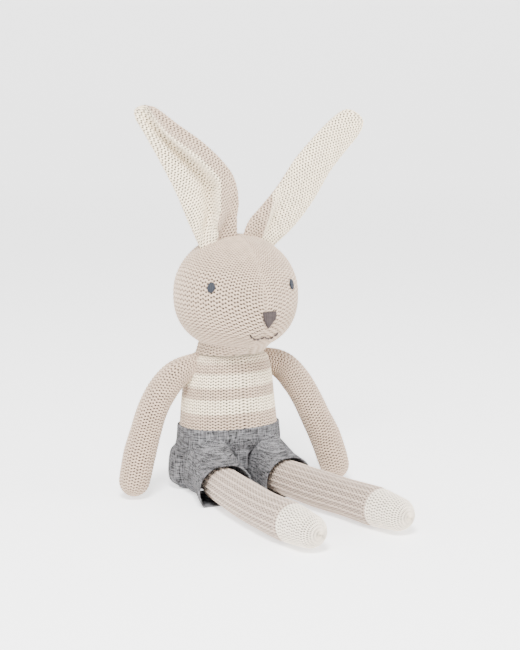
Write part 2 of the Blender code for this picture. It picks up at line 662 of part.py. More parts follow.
def main():
    for thing in list(bpy.data.objects):
        bpy.data.objects.remove(thing)
    for name, colour in COLOURS.items():
        material = bpy.data.materials.new(name)
        material.use_nodes = True
        shader = material.node_tree.nodes["Principled BSDF"]
        shader.inputs["Base Color"].default_value = (*colour, 1)
        shader.inputs["Roughness"].default_value = 0.9
    make_torso()
    make_neck()
    make_head()
    make_ear("right", EAR_RIGHT_OUTER, EAR_RIGHT_INNER, EAR_RIGHT_FOLD)
    make_ear("left", EAR_LEFT_OUTER, EAR_LEFT_INNER, EAR_LEFT_FOLD)
    make_arm("right", ARM_RIGHT_PATH)
    make_arm("left", ARM_LEFT_PATH)
    make_leg("right", LEG_RIGHT_PATH)
    make_leg("left", LEG_LEFT_PATH)


main()
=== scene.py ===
"""A seated stuffed bunny rabbit in knitted skins and cloth shorts, with its floor and lights.

Shapes are worked out in millimetres and become metres when a mesh is made. The toy faces -Y,
sits on the floor at z = 0 and has its own left side towards +X.
"""

import math

import bpy
import numpy as np
from bpy.props import FloatProperty, FloatVectorProperty, PointerProperty
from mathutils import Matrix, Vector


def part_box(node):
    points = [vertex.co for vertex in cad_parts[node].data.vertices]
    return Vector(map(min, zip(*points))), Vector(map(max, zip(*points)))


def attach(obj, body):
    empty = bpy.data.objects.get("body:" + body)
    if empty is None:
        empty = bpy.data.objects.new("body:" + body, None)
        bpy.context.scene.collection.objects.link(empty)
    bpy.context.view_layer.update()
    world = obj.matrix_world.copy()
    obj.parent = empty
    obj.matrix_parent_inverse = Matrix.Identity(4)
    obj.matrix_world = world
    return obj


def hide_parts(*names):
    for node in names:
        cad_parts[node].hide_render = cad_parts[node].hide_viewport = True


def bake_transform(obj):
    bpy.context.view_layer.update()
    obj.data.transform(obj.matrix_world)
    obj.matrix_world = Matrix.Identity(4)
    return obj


bl_info = {
    "name": "Knitted Rabbit",
    "version": (1, 0, 0),
    "blender": (4, 5, 0),
    "location": "3D View > Sidebar > Rabbit",
    "description": "Builds a seated stuffed rabbit in knit and cloth over its frame",
    "category": "Object",
}

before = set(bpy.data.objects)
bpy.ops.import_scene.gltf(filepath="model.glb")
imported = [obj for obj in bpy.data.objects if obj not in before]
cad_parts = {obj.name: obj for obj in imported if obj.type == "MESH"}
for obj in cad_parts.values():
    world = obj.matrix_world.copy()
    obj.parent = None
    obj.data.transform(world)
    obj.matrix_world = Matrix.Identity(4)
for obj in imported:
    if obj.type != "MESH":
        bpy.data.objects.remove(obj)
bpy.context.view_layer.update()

MM = 0.001
TORSO_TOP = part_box("torso_panel_front")[1][2] / MM
WAIST = 49.0
SEAT_LEVELS = (
    (1.3, -3.0, 2.0, 8.0, 12.0),
    (1.3, -3.0, 31.0, -1.5, 21.5),
    (3.0, -3.0, 35.5, -2.8, 24.0),
    (7.0, -2.5, 41.0, -3.5, 26.5),
    (15.0, -2.0, 42.5, -3.5, 28.0),
    (27.5, -2.0, 41.0, -4.5, 28.5),
)
TRUNK_LEVELS = (
    (34.0, -2.0, 39.5, -23.0, 28.0),
    (47.0, -2.5, 37.0, -26.0, 27.0),
    (65.0, -3.0, 35.3, -25.0, 25.5),
    (84.0, -3.0, 33.2, -23.5, 23.5),
    (96.0, -2.5, 30.5, -21.5, 21.0),
    (101.0, -2.5, 26.5, -18.0, 18.0),
    (104.0, -2.5, 14.0, -11.0, 10.0),
    (104.5, -2.5, 3.0, -3.0, 2.0),
)
# Pale stripes as lowest height, highest height and strength. The top stripe is a real pale stripe,
# given half strength as painted shade under the chin.
STRIPES = ((59.9, 70.7, 1.0), (79.2, 89.2, 1.0), (96.5, 103.0, 0.5))
STRIPE_EDGE = 1.4
SQUARENESS = 2.3
TORSO_GIRTH = 205.0
# Share of the trunk's side, from its lowest ring, that the knit leaves to the shorts
TORSO_START = 0.10

HEAD_CENTRE = np.array((0.6, -5.5, 147.0))
HEAD_HALF = np.array((45.6, 44.0, 42.0))
CROWN = HEAD_CENTRE[2] + HEAD_HALF[2]
MUZZLE_DIRECTION = (0.05, -0.90, -0.42)
MUZZLE_RISE = 4.5
MUZZLE_SPREAD = 34.0
JAW_FULLNESS = 0.15
JAW_END = -56.0
HEAD_END = 89.2
# How steeply the rows fall away from the centre seam at four heights in degrees, and how
# far from the seam they keep falling
ROW_SLOPES = ((-50, -10, 25, 60), (0.12, 0.34, 0.72, 0.80))
SLOPE_REACH = 26
HEAD_SEAM_WIDTH = 1.6
NECK_RADIUS = 26.0
NECK_DEPTH = 0.75
NECK_LENGTH = 11.0
NECK_SHIFT = (-3, 4)
NECK_SINK = 2.0
EYE_SIZE = (2.7, 3.7)
EYES = {"left": (36.0, 10.0), "right": (-49.5, 10.5)}
NOSE_AT = (3.0, -17.0)
NOSE_SIZE = (5.4, 6.8)
MOUTH_AT = (2.0, -35.0)
MOUTH_HALF_WIDTH = 10.0
MOUTH_RISE = 2.6
THREAD_SIDES = 6

# Edges of the ears, across and up from the crown
EAR_OUTER = {
    "right": ((-29.5, -8), (-39, 14), (-46, 30), (-58, 52),
              (-71, 74), (-77.5, 85), (-77, 91), (-71, 93.5)),
    "left": ((33, -8), (50, 5), (66, 23.5), (79, 43),
             (92.5, 58), (104, 70), (108, 79), (104, 86)),
}
EAR_INNER = {
    "right": ((-1, 0.5), (-3, 14), (-3, 25), (-9, 45),
              (-28, 65), (-47, 79), (-62, 91), (-71, 93.5)),
    "left": ((4, 0.5), (9, 11), (20.5, 21.5), (35, 36),
             (53, 57), (78, 80), (93, 89), (104, 86)),
}
# Where the two colours meet across an ear's front, from -1 at the outer edge, base to tip
EAR_SEAM = {
    "right": (-0.3, 0.45, 0.72, 0.66, 0.43, 0.2, 0.0),
    "left": (-0.1, 0.75, 1.3, 1.3, 1.3, 1.3, 1.3),
}
EAR_SEAM_EDGE = 0.04
EAR_CREST = {"right": 9.0, "left": 3.0}
EAR_FOLD = {"right": (6.0, 13.0, 12.0, 8.0, 0.0), "left": (6.0, 6.0, 1.0, 0.0, 0.0)}
EAR_DEPTH = -6.0
EAR_HALF_THICKNESS = 4.3
EAR_FULL_WIDTH = 14
CREST_FULL_WIDTH = 30
# Depth of an ear's base in the head, and the share of the ear that bends to reach it
EAR_SEAT = 3.0
EAR_ROOT = 0.25
# How far the stitches of the front lean, in degrees
EAR_LEAN = {"left": 32, "right": 24}

ARM_PATH = {
    "right": ((13.5, 0, 87.5), (24.5, 0, 76), (32, 0, 62.5), (37, 0, 48), (41.5, 0, 33.5),
              (45, 0, 18.5), (48.5, 0, 2.5)),
    "left": ((13.5, -2, 88), (24, -5, 76), (31, -9, 62.5), (36.5, -13, 48.5), (42, -17.5, 34),
             (45.5, -22.5, 18.5), (48.5, -27, 2.5)),
}
ARM_RADII = (9.0, 10.0, 10.8, 10.8, 11.0, 11.6, 11.2, 10.0)
SHOULDER_OVAL = (8.4, 7.0)
SHOULDER_TUCK = 5.0
SHOULDER_DROP = 1.5
SHOULDER_FACING = (0.976, 0.218)
# The arms' paths start this far either side of the torso's middle
SHOULDER_MIDDLE = -2.5
SHOULDER_OUT = 30.5
# Lengths over which the shoulder's oval and its flat first rings fade out
SHOULDER_REACH = 14.0
FLAT_START = 18.0
ARM_STITCHES = 16
# Thinnest that a rounded end gets, as the square of a share of the limb
DOME_TIP = 0.0004
LEG_PATH = {
    "right": ((-26, -22, 14), (-29, -42, 14), (-32.5, -82, 13.8), (-34, -118, 13.8),
              (-32.5, -148, 13.9), (-29, -181, 13.2)),
    "left": ((19, -22, 14), (21, -44, 14), (27, -88, 13.8), (33, -118, 13.8),
             (37.5, -145, 13.9), (43, -175, 13.2)),
}
LEG_RADII = (12.3, 12.6, 12.9, 12.6, 13.4, 10.0)
LEG_COURSES = 36
LEG_FLOOR = 1.3
ANKLE_AT = 0.80
ANKLE_EDGE = 0.008
RIB_DEPTH = 0.28
SHORTS_RADII = (16.2, 17.6)
LAP_BRIDGE = 14.0
SHORTS_LEG_LENGTH = 27.0
SHORTS_LEG_SET_BACK = 18.0
CUFF_SAG = 2.5
CUFF_DROOP = 2.6
# The front panel between the thighs: its middle, half width, lowest height and front
GUSSET = (-3.5, 9.0, 12.0, -25.5)
HEM_LENGTH = 7.0
# Ease of the cloth over the knit, at the seat and more at the waist, and how far it creases
SEAT_EASE = (1.2, 0.6)
SEAT_CREASE = 1.1
CUFF_CREASE = 1.3
# Kept clear of z = 0 by the seat above it and the floor below
FLOOR_GAP = 0.05
# Lowest height of a cuff's outside and of its inside
CUFF_FLOOR = (0.1, 1.1)
CLOTH_THICKNESS = 0.8
HEM_STEP = 0.5
# The row of stitches along the hem: its place above the fold, half width and stitches
HEM_LINE = (1.2, 0.35, 60)
# Flat cuts: hip girth by waist-to-crotch length of the seat, and girth by length of a leg
# with its turned hem. The seat's cut is curved, so it fills this share of its rectangle.
HIP_GIRTH = 206.0
SEAT_CUT = (HIP_GIRTH * MM, 75.0 * MM)
SEAT_CUT_FILL = 0.8
LEG_CUT = (2 * math.pi * SHORTS_RADII[1] * MM,
           (SHORTS_LEG_SET_BACK + SHORTS_LEG_LENGTH + HEM_LENGTH) * MM)

# A course of purl, as shares of its height: how far it waves, and the yarn's half width
# where it crosses over and where its loops leave a gap
WAVE = 0.20
YARN_HALF = 0.46
YARN_NARROWING = 0.16
# Height of yarn below which a stitch gets painted shade, and how dark that painted shade gets
HOLLOW_TOP = 1.0
HOLLOW_SHADE = 1.0

# Columns of a mesh follow from these spans and the mesh spacing, and so do the rows where a
# second span is given. For the ears the first is half a ring. Other knitted rows are this
# share of the spacing apart, and the cloth is this many times coarser.
ROW_SPACING = 0.9
SEAT_SPACING = 1.6
CUFF_SPACING = 1.4
TORSO_SPAN = 210
HEAD_SPANS = (285, 142)
EAR_SPANS = (52, 118)
ARM_SPAN = 72
LEG_SPAN = 84
SEAT_SPAN = 240
CUFF_SPAN = 110

FLOOR_RINGS = (1.0, 1500.0)
FLOOR_REACH = 3500
SWEEP = 1500
WALL_TOP = (5000.0, 4000.0)
FLOOR_GLOW = 1.15
WORLD_STRENGTH = 0.6
# Lights as name, place in metres, power in watts and extent in metres
LAMPS = (("key", (-0.55, -0.9, 1.4), 72.0, 0.5), ("fill", (1.1, -0.8, 0.7), 9.0, 1.0))
LENS = 85.0
SENSOR_HEIGHT = 36.0
CAMERA_PLACE = (-0.5059, -0.9962, 0.2983)
CAMERA_PITCH = 81
CAMERA_TURN = -28


# ---------------------------------------------------------------- shapes
def unit(vectors):
    return vectors / np.maximum(np.linalg.norm(vectors, axis=-1, keepdims=True), 1e-12)


def curve(points, per_span=40):
    """A smooth polyline through the points."""
    points = np.array(points, float)
    ends = [2 * points[:1] - points[1:2], points, 2 * points[-1:] - points[-2:-1]]
    padded = np.concatenate(ends)
    fine = []
    step = (np.arange(per_span) / per_span)[:, None]
    for first, start, end, last in zip(padded, padded[1:], padded[2:], padded[3:]):
        fine.append(0.5 * (2 * start + (end - first) * step
                           + (2 * first - 5 * start + 4 * end - last) * step ** 2
                           + (3 * start - first - 3 * end + last) * step ** 3))
    return np.concatenate(fine + [points[-1:]])


def travelled(points):
    return np.concatenate([[0], np.cumsum(np.linalg.norm(np.diff(points, axis=0), axis=1))])


def at_lengths(points, wanted):
    reach = travelled(points)
    return np.stack([np.interp(wanted, reach, column) for column in points.T], axis=1)


def ring_angles(columns):
    return 2 * math.pi * np.arange(columns) / columns


def circles(angles, side, up):
    """A unit circle for every pair of directions across a line."""
    return (np.cos(angles)[None, :, None] * side[:, None]
            + np.sin(angles)[None, :, None] * up[:, None])


def dome(share):
    """Radius of a rounded end, as a share, from its tip at 0 to full at 1."""
    return np.sqrt(np.clip(1 - (1 - share) ** 2, DOME_TIP, 1))


def normals_of(grid):
    """Normals of rings that run counter-clockwise around their own direction."""
    along = np.gradient(grid, axis=0)
    around = np.roll(grid, -1, axis=1) - np.roll(grid, 1, axis=1)
    return unit(np.cross(around, along))


def soft_noise(u, v, seed):
    """Smooth repeatable variation between -1 and 1, made of a few sine waves."""
    source = np.random.default_rng(seed)
    total = np.zeros(np.broadcast(u, v).shape)
    for _ in range(6):
        a, b = source.uniform(-1, 1, 2)
        total += np.sin(a * u + b * v + source.uniform(0, 2 * math.pi))
    return total / 6


def purl(u, v):
    """Height from 0 to 1 of wavy courses of yarn with a gap over and under every loop."""
    course = np.floor(v)
    turn = 2 * math.pi * u
    half = YARN_HALF - YARN_NARROWING * np.cos(2 * turn)
    height = np.zeros_like(v)
    for step in (-1, 0, 1, 2):
        across = (v - course - step - WAVE * np.cos(turn)) / half
        height = np.maximum(height, np.sqrt(np.clip(1 - across ** 2, 0, 1)))
    return height


def knitted(grid, u, v, depth, seed, ease=1.0):
    """The grid raised by its stitches, with the relief that shades it."""
    aside = np.abs(u - u.mean())
    uneven = 0.16 * soft_noise(aside * 0.9, v * 0.5, seed)
    relief = purl(u + 0.05 * soft_noise(aside, v, seed + 1), v + uneven)
    lumps = 0.25 * soft_noise(aside * 0.35, v * 0.2, seed + 2)
    lift = depth * ease * (relief - 0.75) + lumps
    ease = np.asarray(ease, float) * np.ones_like(relief)
    return grid + normals_of(grid) * lift[..., None], relief * ease + 0.8 * (1 - ease)


# ---------------------------------------------------------------- meshes
def make_mesh(name, points, faces, material, **attributes):
    mesh = bpy.data.meshes.new(name)
    points = np.asarray(points, float)
    faces = np.asarray(faces)
    mesh.vertices.add(len(points))
    mesh.vertices.foreach_set("co", (points * MM).astype(np.float32).ravel())
    mesh.loops.add(faces.size)
    mesh.loops.foreach_set("vertex_index", faces.astype(np.int32).ravel())
    mesh.polygons.add(len(faces))
    starts = np.arange(0, faces.size, faces.shape[1], dtype=np.int32)
    mesh.polygons.foreach_set("loop_start", starts)
    mesh.update(calc_edges=True)
    mesh.validate()
    mesh.shade_smooth()
    for label, values in attributes.items():
        layer = mesh.attributes.new(label, "FLOAT", "POINT")
        layer.data.foreach_set("value", np.asarray(values, np.float32).ravel())
    mesh.materials.append(material)
    thing = bpy.data.objects.new(name, mesh)
    bpy.context.scene.collection.objects.link(thing)
    return thing


def cells(rows, columns):
    return np.meshgrid(np.arange(rows - 1), np.arange(columns), indexing="ij")


def grid_faces(rows, columns):
    row, column = cells(rows, columns)
    beside = (column + 1) % columns
    corners = [row * columns + column, row * columns + beside,
               (row + 1) * columns + beside, (row + 1) * columns + column]
    return np.stack(corners, -1).reshape(-1, 4)


def grid_object(name, grid, material, **attributes):
    """A mesh of closed rings with an even map over it."""
    rows, columns = grid.shape[:2]
    faces = grid_faces(rows, columns)
    thing = make_mesh(name, grid.reshape(-1, 3), faces, material, **attributes)
    row, column = cells(rows, columns)
    place = np.stack([np.stack([(column + right) / columns, (row + up) / rows], -1)
                      for right, up in ((0, 0), (1, 0), (1, 1), (0, 1))], axis=2)
    layer = thing.data.uv_layers.new(name="OFBake")
    layer.data.foreach_set("uv", place.astype(np.float32).ravel())
    return thing


def strands(name, lines, radius, material):
    """Round threads along each line, joined as one mesh."""
    points, faces, shade = [], [], []
    start = 0
    turns = ring_angles(THREAD_SIDES)
    for number, line in enumerate(lines):
        line = np.asarray(line, float)
        tangent = unit(np.gradient(line, axis=0))
        across = unit(np.cross(tangent, line - HEAD_CENTRE))
        up = np.cross(across, tangent)
        taper = np.ones(len(line))
        taper[[0, -1]] = 0.35
        ring = circles(turns, across, up) * (radius * taper)[:, None, None]
        points.append((line[:, None] + ring).reshape(-1, 3))
        faces.append(grid_faces(len(line), THREAD_SIDES)[:, ::-1] + start)
        shade.append(np.full(len(line) * THREAD_SIDES, (number * 0.37) % 1.0))
        start += len(line) * THREAD_SIDES
    return make_mesh(name, np.concatenate(points), np.concatenate(faces), material,
                     strand=np.concatenate(shade))


# ---------------------------------------------------------------- shading
def add(tree, kind, inputs=(), **settings):
    """A new node with its settings and the values of its inputs."""
    node = tree.nodes.new(kind)
    for key, value in settings.items():
        setattr(node, key, value)
    for key, value in dict(inputs).items():
        node.inputs[key].default_value = value
    return node


def set_shader(material, **values):
    """Give the material nodes and set its shader's inputs, named with _ for a space."""
    material.use_nodes = True
    shader = material.node_tree.nodes["Principled BSDF"]
    for key, value in values.items():
        shader.inputs[key.replace("_", " ")].default_value = value
    return shader


def add_fibre(tree, shader, scale, strength, distance):
    """Raise the shader's surface by fine fibres, and return their group."""
    fibre = add(tree, "ShaderNodeGroup", {"Scale": scale}, node_tree=yarn_group())
    raised = add(tree, "ShaderNodeBump", {"Strength": strength, "Distance": distance})
    tree.links.new(fibre.outputs["Height"], raised.inputs["Height"])
    tree.links.new(raised.outputs["Normal"], shader.inputs["Normal"])
    return fibre


def yarn_group():
    """Fine fibre variation shared by every knit, thread and cloth."""
    group = bpy.data.node_groups.get("Fibre")
    if group:
        return group
    group = bpy.data.node_groups.new("Fibre", "ShaderNodeTree")
    face = group.interface
    face.new_socket("Scale", in_out="INPUT", socket_type="NodeSocketFloat")
    face.new_socket("Marl", in_out="OUTPUT", socket_type="NodeSocketFloat")
    face.new_socket("Height", in_out="OUTPUT", socket_type="NodeSocketFloat")
    enter, leave = group.nodes.new("NodeGroupInput"), group.nodes.new("NodeGroupOutput")
    place = group.nodes.new("ShaderNodeTexCoord")
    fine = add(group, "ShaderNodeTexNoise", {"Detail": 4.0})
    broad = add(group, "ShaderNodeTexNoise", {"Scale": 260.0, "Detail": 3.0})
    link = group.links.new
    link(place.outputs["Object"], fine.inputs["Vector"])
    link(place.outputs["Object"], broad.inputs["Vector"])
    link(enter.outputs["Scale"], fine.inputs["Scale"])
    link(fine.outputs["Fac"], leave.inputs["Height"])
    link(broad.outputs["Fac"], leave.inputs["Marl"])
    return group


def yarn_colour_group():
    """Marled yarn whose second colour follows the tone and whose hollows get painted shade."""
    group = bpy.data.node_groups.get("Yarn colour")
    if group:
        return group
    group = bpy.data.node_groups.new("Yarn colour", "ShaderNodeTree")
    for label in ("Base", "Second", "Dark"):
        group.interface.new_socket(label, in_out="INPUT", socket_type="NodeSocketColor")
    group.interface.new_socket("Marl", in_out="INPUT", socket_type="NodeSocketFloat")
    group.interface.new_socket("Colour", in_out="OUTPUT", socket_type="NodeSocketColor")
    enter, leave = group.nodes.new("NodeGroupInput"), group.nodes.new("NodeGroupOutput")
    link = group.links.new
    tone = add(group, "ShaderNodeAttribute", attribute_name="tone")
    relief = add(group, "ShaderNodeAttribute", attribute_name="relief")
    mixed = add(group, "ShaderNodeMix", data_type="RGBA")
    link(tone.outputs["Fac"], mixed.inputs["Factor"])
    link(enter.outputs["Base"], mixed.inputs["A"])
    link(enter.outputs["Second"], mixed.inputs["B"])
    marl = spread(group, enter.outputs["Marl"], 0.3, 0.7, 0.86, 1.08)
    varied = add(group, "ShaderNodeVectorMath", operation="SCALE")
    link(mixed.outputs["Result"], varied.inputs[0])
    link(marl, varied.inputs["Scale"])
    # Painted shade: where the relief is low between the stitches, the dark colour is mixed in
    hollow = spread(group, relief.outputs["Fac"], 0.15, HOLLOW_TOP, HOLLOW_SHADE, 0.0,
                    "SMOOTHSTEP")
    shaded = add(group, "ShaderNodeMix", data_type="RGBA")
    link(hollow, shaded.inputs["Factor"])
    link(varied.outputs["Vector"], shaded.inputs["A"])
    link(enter.outputs["Dark"], shaded.inputs["B"])
    link(shaded.outputs["Result"], leave.inputs["Colour"])
    return group


def spread(tree, value, low, high, first, last, interpolation="LINEAR"):
    """Stretch a value from one range to another."""
    ends = {"From Min": low, "From Max": high, "To Min": first, "To Max": last}
    node = add(tree, "ShaderNodeMapRange", ends, interpolation_type=interpolation)
    tree.links.new(value, node.inputs["Value"])
    return node.outputs["Result"]


def weave_group():
    """Slubs of the warp and the weft of a plain cloth, crossing each other."""
    group = bpy.data.node_groups.get("Slub weave")
    if group:
        return group
    group = bpy.data.node_groups.new("Slub weave", "ShaderNodeTree")
    group.interface.new_socket("Slub", in_out="OUTPUT", socket_type="NodeSocketFloat")
    leave = group.nodes.new("NodeGroupOutput")
    place = group.nodes.new("ShaderNodeTexCoord")
    found = []
    for stretch in ((1500.0, 1500.0, 130.0), (160.0, 160.0, 1500.0)):
        scaled = add(group, "ShaderNodeMapping", {"Scale": stretch})
        slub = add(group, "ShaderNodeTexNoise", {"Scale": 1.0, "Detail": 3.0})
        group.links.new(place.outputs["Object"], scaled.inputs["Vector"])
        group.links.new(scaled.outputs["Vector"], slub.inputs["Vector"])
        found.append(slub.outputs["Fac"])
    total = add(group, "ShaderNodeMath", operation="ADD")
    group.links.new(found[0], total.inputs[0])
    group.links.new(found[1], total.inputs[1])
    group.links.new(total.outputs["Value"], leave.inputs["Slub"])
    return group


def woven(material, pale, deep):
    """Give a fabric the crossed pale and dark slubs of chambray."""
    tree = material.node_tree
    shader = tree.nodes["Principled BSDF"]
    before = shader.inputs["Base Color"].links[0].from_socket
    slub = add(tree, "ShaderNodeGroup", node_tree=weave_group())
    strength = spread(tree, slub.outputs["Slub"], 0.8, 1.2, deep, pale)
    varied = add(tree, "ShaderNodeVectorMath", operation="SCALE")
    tree.links.new(before, varied.inputs[0])
    tree.links.new(strength, varied.inputs["Scale"])
    tree.links.new(varied.outputs["Vector"], shader.inputs["Base Color"])


def fabric(name, base, second, dark, sheen=0.25, bump=0.35, scale=1600.0):
    """A matt fibre material: relief paints shade into its hollows and tone mixes in a second
    colour.
    """
    found = bpy.data.materials.get(name)
    if found:
        return found
    material = bpy.data.materials.new(name)
    shader = set_shader(material, Roughness=0.92, Specular_IOR_Level=0.15, Sheen_Weight=sheen,
                        Sheen_Roughness=0.6)
    tree = material.node_tree
    fibre = add_fibre(tree, shader, scale, bump, 0.0004)
    colours = {"Base": (*base, 1), "Second": (*second, 1), "Dark": (*dark, 1)}
    yarn = add(tree, "ShaderNodeGroup", colours, node_tree=yarn_colour_group())
    tree.links.new(fibre.outputs["Marl"], yarn.inputs["Marl"])
    tree.links.new(yarn.outputs["Colour"], shader.inputs["Base Color"])
    return material


def thread_material(name, base):
    """A satin thread whose strands differ a little in tone."""
    found = bpy.data.materials.get(name)
    if found:
        return found
    material = bpy.data.materials.new(name)
    shader = set_shader(material, Roughness=0.6, Specular_IOR_Level=0.2)
    tree = material.node_tree
    strand = add(tree, "ShaderNodeAttribute", attribute_name="strand")
    pale = tuple(min(1.0, value * 1.5 + 0.01) for value in base)
    mixed = add(tree, "ShaderNodeMix", {"A": (*base, 1), "B": (*pale, 1)}, data_type="RGBA")
    tree.links.new(strand.outputs["Fac"], mixed.inputs["Factor"])
    tree.links.new(mixed.outputs["Result"], shader.inputs["Base Color"])
    add_fibre(tree, shader, 2600.0, 0.3, 0.0002)
    return material


def knit_material(name, base, second):
    look = bpy.context.scene.rabbit_colours
    return fabric(name, tuple(base), tuple(second), tuple(look.hollow))


# ---------------------------------------------------------------- body forms
def squared_ring(angles):
    cosine, sine = np.cos(angles), np.sin(angles)
    power = 2 / SQUARENESS
    return np.sign(cosine) * np.abs(cosine) ** power, np.sign(sine) * np.abs(sine) ** power


def body_grid(levels, row_step, columns, low, high):
    """Rings of the torso between two places along its side, at even spacing."""
    profile = curve(levels)
    shape = np.stack([profile[:, 2], profile[:, 0]], axis=1)
    reach = travelled(shape)
    count = int((high - low) * reach[-1] / row_step)
    wanted = np.linspace(low * reach[-1], high * reach[-1], count)
    rows = np.stack([np.interp(wanted, reach, column) for column in profile.T], axis=1)
    angles = ring_angles(columns)
    across, deep = squared_ring(angles)
    height, centre, half, front, back = (column[:, None] for column in rows.T)
    x = centre + half * across
    y = (front + back) / 2 + (back - front) / 2 * deep
    return np.stack([x, y, height + 0 * x], axis=-1), wanted, angles


def head_point(directions):
    """The head's surface in each direction from its centre."""
    directions = unit(np.asarray(directions, float))
    radius = 1 / np.linalg.norm(directions / HEAD_HALF, axis=-1)
    facing = directions @ unit(np.array(MUZZLE_DIRECTION))
    away = np.degrees(np.arccos(np.clip(facing, -1, 1)))
    radius = radius + MUZZLE_RISE * np.exp(-(away / MUZZLE_SPREAD) ** 2)
    jaw = 1 + JAW_FULLNESS * np.clip(-directions[..., 2], 0, 1) ** 1.5
    full = np.stack([jaw, jaw, np.ones_like(jaw)], axis=-1)
    return HEAD_CENTRE + directions * full * radius[..., None]


def face_point(at, right, up, lift):
    """A point on the face, offset from a place on it in millimetres right, up and outward."""
    scale = 180 / math.pi / HEAD_HALF[1]
    turn = np.radians(at[0] + np.asarray(right) * scale / math.cos(math.radians(at[1])))
    height = np.radians(at[1] + np.asarray(up) * scale)
    towards = np.stack([np.sin(turn) * np.cos(height), -np.cos(turn) * np.cos(height),
                        np.sin(height)], axis=-1)
    skin = head_point(towards)
    return skin + unit(skin - HEAD_CENTRE) * np.asarray(lift)[..., None]


def limb_grid(path, radii, row_step, columns, first_plane=None, back_dome=False):
    """Evenly spaced rings along a limb that ends in a rounded tip."""
    spine = curve(path)
    reach = travelled(spine)
    fine = np.linspace(0, reach[-1], 3000)
    radius = np.interp(fine / reach[-1], np.linspace(0, 1, len(radii)), radii)
    left = np.clip((reach[-1] - fine) / radii[-1], 0, 1)
    radius = radius * dome(left)
    if back_dome:
        radius = radius * dome(np.clip((fine + 0.02) / radii[0], 0, 1))
    surface = travelled(np.stack([fine, radius], axis=1))
    lengths = np.linspace(0, surface[-1], int(surface[-1] / row_step))
    along = np.interp(lengths, surface, fine)
    centre = at_lengths(spine, along)
    size = np.interp(along, fine, radius)
    tangent = unit(np.gradient(centre, axis=0))
    if first_plane is not None:
        weight = np.clip(1 - along / FLAT_START, 0, 1)[:, None]
        tangent = unit(tangent * (1 - weight) + first_plane * weight)
    side = unit(np.cross((0, 0, 1.0), tangent))
    up = np.cross(tangent, side)
    angles = ring_angles(columns)
    grid = centre[:, None] + circles(angles, side, up) * size[:, None, None]
    return grid, lengths, angles, along


def ear_form(side, rows, half):
    """A padded ear as rings that pass over its back and then its front."""
    outer = np.array(EAR_OUTER[side], float) + (0, CROWN)
    inner = np.array(EAR_INNER[side], float) + (0, CROWN)
    share = 1 - (1 - np.linspace(0, 0.985, rows)) ** 1.15
    edges = []
    for line in (curve(outer), curve(inner)):
        reach = travelled(line)
        edges.append(at_lengths(line, share * reach[-1]))
    fold = np.interp(share, np.linspace(0, 1, len(EAR_FOLD[side])), EAR_FOLD[side])
    place = -np.cos(np.linspace(0, math.pi, half + 1))
    grid = np.zeros((rows, 2 * half, 3))
    for row in range(rows):
        start = np.array([edges[0][row, 0], EAR_DEPTH, edges[0][row, 1]])
        end = np.array([edges[1][row, 0], EAR_DEPTH, edges[1][row, 1]])
        width = np.linalg.norm(end - start)
        middle = start + (end - start) * (place[:, None] + 1) / 2
        middle[:, 1] -= fold[row] * np.clip(place, 0, 1) ** 1.4
        across = unit(end - start)
        tangent = unit(np.gradient(middle, axis=0) + across * 1e-6)
        upward = unit(np.cross(across, (0, 1.0, 0)))
        backward = unit(np.cross(upward, tangent))
        backward = backward * np.sign(backward[:, 1].sum() + 1e-9)
        bulge = (EAR_HALF_THICKNESS * min(1, width / EAR_FULL_WIDTH)
                 * np.sqrt(np.clip(1 - np.abs(place) ** 2.6, 0, 1)))[:, None]
        crest = np.interp(share[row], np.linspace(0, 1, len(EAR_SEAM[side])), EAR_SEAM[side])
        roll = EAR_CREST[side] * min(1, width / CREST_FULL_WIDTH) * min(1, share[row] / 0.12)
        hollow = 0.5 * np.exp(-((place - crest + 0.5) / 0.3) ** 2)
        ridge = roll * (np.exp(-((place - crest) / 0.26) ** 2) - hollow)
        back, front = middle + backward * bulge, middle - backward * bulge
        front -= backward * (ridge * np.sqrt(np.clip(1 - place ** 4, 0, 1)))[:, None]
        grid[row] = np.concatenate([back, front[-2:0:-1]])
    outward = unit(grid[0] - HEAD_CENTRE)
    seat = np.linalg.norm(head_point(outward) - HEAD_CENTRE, axis=1) - EAR_SEAT
    shift = seat - np.linalg.norm(grid[0] - HEAD_CENTRE, axis=1)
    weight = np.clip(1 - share / EAR_ROOT, 0, 1) ** 2
    grid += outward[None] * (shift[None] * weight[:, None])[..., None]
    return grid, place


# ---------------------------------------------------------------- settings
class RabbitSizes(bpy.types.PropertyGroup):
    stitch: FloatProperty(name="Stitch width", description="Width of one stitch in millimetres",
                          default=4.3, min=2.0, max=8.0)
    course: FloatProperty(name="Course height",
                          description="Height of one row of stitches in millimetres",
                          default=2.25, min=1.0, max=5.0)
    depth: FloatProperty(name="Knit depth",
                         description="How far the yarn stands up, in millimetres",
                         default=1.7, min=0.1, max=2.0)
    mesh: FloatProperty(name="Mesh spacing",
                        description="Distance between mesh points, in millimetres",
                        default=0.42, min=0.3, max=2.0)


def colour(name, value, what):
    return FloatVectorProperty(name=name, description=what, subtype="COLOR", size=3,
                               default=value, min=0.0, max=1.0)


class RabbitColours(bpy.types.PropertyGroup):
    cream: colour("Cream", (0.93, 0.79, 0.57), "Ear fronts and pale stripes")
    beige: colour("Beige", (0.53, 0.395, 0.285), "Head, ear backs and dark stripes")
    arm: colour("Arms", (0.51, 0.375, 0.27), "Arms")
    leg: colour("Legs", (0.50, 0.39, 0.31), "Legs")
    foot: colour("Feet", (0.88, 0.78, 0.64), "Feet")
    cloth: colour("Shorts", (0.056, 0.055, 0.057), "Cloth of the shorts")
    # Painted shade colour for the hollows between the stitches
    hollow: colour("Hollows", (0.055, 0.036, 0.026), "Between the stitches")
    eye: colour("Eyes", (0.016, 0.018, 0.024), "Eye thread")
    nose: colour("Nose", (0.034, 0.025, 0.024), "Nose and mouth thread")


